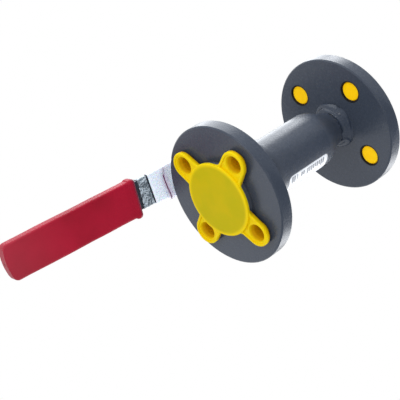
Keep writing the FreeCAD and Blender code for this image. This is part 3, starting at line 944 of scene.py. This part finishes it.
def crumpled_film():
    """The same film creased hard: bright along each fold, partly as painted highlight, thin and
    steel-dark between.
    """
    clear = Finish("crumpled_film")
    x, y, z = clear.axes()
    folds_and_highlights = 0.0
    for number, turn in enumerate(fold_turns):
        with_fold = x * math.cos(turn) + (y + z * 3.0) * math.sin(turn)
        over_fold = (y + z * 3.0) * math.cos(turn) - x * math.sin(turn)
        where = clear.node(
            "CombineXYZ", inputs=[with_fold * 40.0, over_fold * 300.0, 3.0 * number + 1.0])
        wave = (clear.noise(1.0, 1.5, 0.5, where) - 0.5).size()
        folds_and_highlights = wave.fall(0.002, 0.026).math("MAXIMUM", folds_and_highlights)
    patch = clear.noise(260.0, 2.0).rise(0.42, 0.75)
    edge_on_sheen = grazing_sheen(clear)
    # Painted highlights along the folds, and a painted sheen where the film is seen edge on.
    tint = clear.mix(folds_and_highlights, rgb(0.36, 0.45, 0.52), rgb(0.66, 0.75, 0.83))
    tint = clear.mix(edge_on_sheen, tint, rgb(0.88, 0.96, 0.97))
    alpha = (folds_and_highlights * 0.54 + patch * 0.28 + edge_on_sheen * 0.6 + 0.26).math("MINIMUM", 0.88)
    normal = clear.bump(folds_and_highlights, 0.3, 0.0005)
    return clear.surface({"Base Color": tint, "Roughness": 0.20, "Alpha": alpha, "Normal": normal})


crumple = loft("bag_crumple", crumple_rings(), crumpled_film(), smooth=False)
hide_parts("bag_tape")
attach(crumple, "lever_set")


# Body label
# A white paper label with round corners bent round the body tube, printed along one
# edge with a block and a row of plain bars, and with rows of fainter bars below.

label_low, label_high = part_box("body_label")
label_radius = 0.0191
label_from = math.radians(175)
label_sweep = math.radians(75)
label_corner = 0.003
label_thickness = 0.0001
print_from = 0.0012
block_ends = (0.0108, 0.0174)
row_ends = (-0.0164, 0.0082)
bar_shift = 0.1
lines_from = 0.0082
lines_to = 0.0228
words_to = 0.0168
label_lift = 0.00004
line_pitch = 0.0024


def printed_bars(sheet, along, down, pitch, width, start, reach, left_out=0.15):
    """A row of plain bars across the label, each of its own length."""
    cell = along / pitch
    number = cell.math("FLOOR")
    chance = sheet.node("TexWhiteNoise", {"noise_dimensions": "1D"}, {"W": number})
    across = (cell - number - 0.5).size().fall(width / 2, width / 2 + 0.12)
    bottom = chance * (0.6 * reach) + (start + 0.5 * reach)
    lengthwise = down.rise(start - 0.0001, start + 0.0001) * (bottom - down).rise(0.0, 0.0002)
    return across * lengthwise * (chance - left_out).rise(0.0, 0.05)


def between(value, low, high):
    """1 from low to high, with both ends a little soft, and 0 outside."""
    return value.rise(low, low + 0.0002) * value.fall(high - 0.0002, high)


def label_paper():
    sheet = Finish("label_paper")
    x, y, z = sheet.axes()
    turned = (y * -1.0).math("ARCTAN2", z * -1.0)
    down = (turned - (math.radians(270) - label_from - label_sweep)) * label_radius
    block = printed_bars(
        sheet, x, down, pitch=0.0010, width=0.70, start=print_from, reach=0.0062)
    block = block * between(x, *block_ends)
    sparse = x.rise(-0.0080, 0.0040) * 0.10 + 0.08
    row = printed_bars(
        sheet, x + bar_shift, down, pitch=0.0020, width=0.56, start=print_from + 0.0004,
        reach=0.0054, left_out=sparse)
    row = row * between(x, *row_ends)
    lines = (down * (math.tau / line_pitch)).wave().rise(0.62, 0.78)
    lines = lines * down.rise(lines_from, lines_from + 0.0002)
    lines = lines * down.fall(lines_to - 0.0003, lines_to)
    cells = sheet.node(
        "CombineXYZ", inputs=[x * 900.0, (down / line_pitch).math("FLOOR") * 7.3, 0.0])
    words = sheet.noise(1.0, 1.0, 0.5, cells).rise(0.46, 0.50)
    words = words * x.size().fall(words_to - 0.0003, words_to)
    ink = block.math("MAXIMUM", row).math("MAXIMUM", lines * words * 0.9)
    tint = sheet.mix(sheet.noise(90.0), rgb(0.86, 0.89, 0.94), rgb(0.92, 0.94, 0.98))
    tint = sheet.mix(ink * 0.85, tint, rgb(0.05, 0.06, 0.09))
    normal = sheet.bump(sheet.noise(500.0, 3.0), 0.08, 0.0004)
    return sheet.surface({"Base Color": tint, "Roughness": 0.42, "Normal": normal})


def label_rings():
    rings = []
    half = (label_high.x - label_low.x) / 2
    half_arc = label_radius * label_sweep / 2
    columns = 60
    half_rows = 12
    for column in range(columns + 1):
        x = -half + 2 * half * column / columns
        from_end = half - abs(x)
        reach = half_arc
        if from_end < label_corner:
            reach -= rounding(label_corner, from_end)
        ring = []
        for row in range(2 * half_rows + 1):
            arc = reach * (row / half_rows - 1)
            angle = label_from + label_sweep / 2 + arc / label_radius
            lift = label_radius + label_lift * noise.noise(Vector((x * 300, arc * 300, 0)))
            ring.append(Vector((x, lift * math.cos(angle), lift * math.sin(angle))))
        rings.append(ring)
    return rings


label = loft("printed_label", label_rings(), label_paper(), closed=False)
back_it = label.modifiers.new("paper", "SOLIDIFY")
back_it.thickness = label_thickness
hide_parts("body_label")
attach(label, "valve_body")


# Floor
# A pale table under the valve's rims, which fades into the backdrop all round. It shows
# only from above, so that a camera placed below still sees the valve, and it takes the
# valve's shadow.

table_size = 1.7
fade_from = 0.35
fade_to = 0.80


def table_top():
    top = Finish("table_top")
    path = top.node("LightPath")
    seen = path.math("MAXIMUM", Wire(top, path.socket.node.outputs["Is Glossy Ray"]))
    seen = seen.math("MAXIMUM", Wire(top, path.socket.node.outputs["Is Transmission Ray"]))
    tint = top.mix(top.noise(3.0), rgb(0.76, 0.76, 0.77), rgb(0.79, 0.79, 0.79))
    under = top.node("NewGeometry", output="Backfacing")
    x, y = top.axes()[:2]
    inside = (x * x + y * y).math("SQRT").fall(fade_from, fade_to)
    cover = (1.0 - under) * seen * inside
    return top.surface({"Base Color": tint, "Roughness": 0.6, "Alpha": cover})


rim_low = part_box("front_flange")[0].z
bpy.ops.mesh.primitive_plane_add(size=table_size, location=(0.0, 0.0, rim_low))
table = bpy.context.object
table.name = "table"
table.data.materials.append(table_top())


# Light and camera
# Soft round lamps stand all about the valve, the strongest of them behind it and over
# it as the camera sees it, in an even pale surround. The backdrop is plain white.

lit_point = Vector((0.03, 0.0, 0.03))


def soft_light(name, place, size, power, tint):
    lamp = bpy.data.lights.new(name, "AREA")
    lamp.shape = "DISK"
    lamp.size = size
    lamp.energy = power
    lamp.color = tint
    holder = bpy.data.objects.new(name, lamp)
    holder.location = place
    holder.rotation_mode = "QUATERNION"
    holder.rotation_quaternion = (lit_point - Vector(place)).to_track_quat("-Z", "Y")
    bpy.context.scene.collection.objects.link(holder)


soft_light("side_softbox", (-0.03, 0.90, 0.16), 1.00, 4.3, (0.95, 0.98, 1.0))
soft_light("low_reflector", (-0.22, -0.78, -0.36), 0.60, 1.9, (1.0, 1.0, 1.0))
soft_light("front_reflector", (0.55, 0.27, -0.65), 0.60, 1.1, (1.0, 1.0, 1.0))
soft_light("upper_backlight", (-0.65, 0.46, 0.55), 1.05, 7.5, (0.92, 0.96, 1.0))
soft_light("lower_backlight", (-0.53, -0.70, -0.01), 0.78, 4.1, (0.95, 0.97, 1.0))
soft_light("rear_kicker", (-0.74, 0.495, 0.35), 0.30, 1.05, (0.95, 0.97, 1.0))
soft_light("front_sparkle", (0.75, 0.59, -0.09), 0.26, 1.1, (1.0, 1.0, 1.0))
soft_light("upper_front", (0.60, -0.22, 0.66), 0.60, 0.5, (0.97, 0.98, 1.0))

world = bpy.data.worlds.new("surround")
bpy.context.scene.world = world
world.use_nodes = True
graph = world.node_tree
surround = graph.nodes["Background"]
surround.inputs["Color"].default_value = (0.93, 0.96, 1.0, 1.0)
surround.inputs["Strength"].default_value = 0.75
backdrop = graph.nodes.new("ShaderNodeBackground")
backdrop.inputs["Color"].default_value = (1.0, 1.0, 1.0, 1.0)
backdrop.inputs["Strength"].default_value = 1.0
path = graph.nodes.new("ShaderNodeLightPath")
choose = graph.nodes.new("ShaderNodeMixShader")
either = path.outputs["Is Camera Ray"]
for ray in ("Is Glossy Ray", "Is Transmission Ray"):
    larger = graph.nodes.new("ShaderNodeMath")
    larger.operation = "MAXIMUM"
    graph.links.new(either, larger.inputs[0])
    graph.links.new(path.outputs[ray], larger.inputs[1])
    either = larger.outputs[0]
graph.links.new(either, choose.inputs[0])
graph.links.new(surround.outputs[0], choose.inputs[1])
graph.links.new(backdrop.outputs[0], choose.inputs[2])
graph.links.new(choose.outputs[0], graph.nodes["World Output"].inputs["Surface"])

camera_place = Vector((0.48844, 0.21551, -0.53432))
camera_aim = Vector((0.04725, -0.0098, 0.0420))
camera_up = Vector((-0.4384, 0.8986, 0.0158))
lens = bpy.data.cameras.new("camera")
lens.sensor_width = 36.0
lens.lens = 103.3
lens.clip_start = 0.05
lens.clip_end = 20.0
camera = bpy.data.objects.new("camera", lens)
bpy.context.scene.collection.objects.link(camera)
back = (camera_place - camera_aim).normalized()
right = camera_up.cross(back).normalized()
turn = Matrix((right, back.cross(right), back)).transposed()
camera.matrix_world = Matrix.Translation(camera_place) @ turn.to_4x4()
bpy.context.scene.camera = camera

bpy.context.scene.view_settings.view_transform = "Standard"
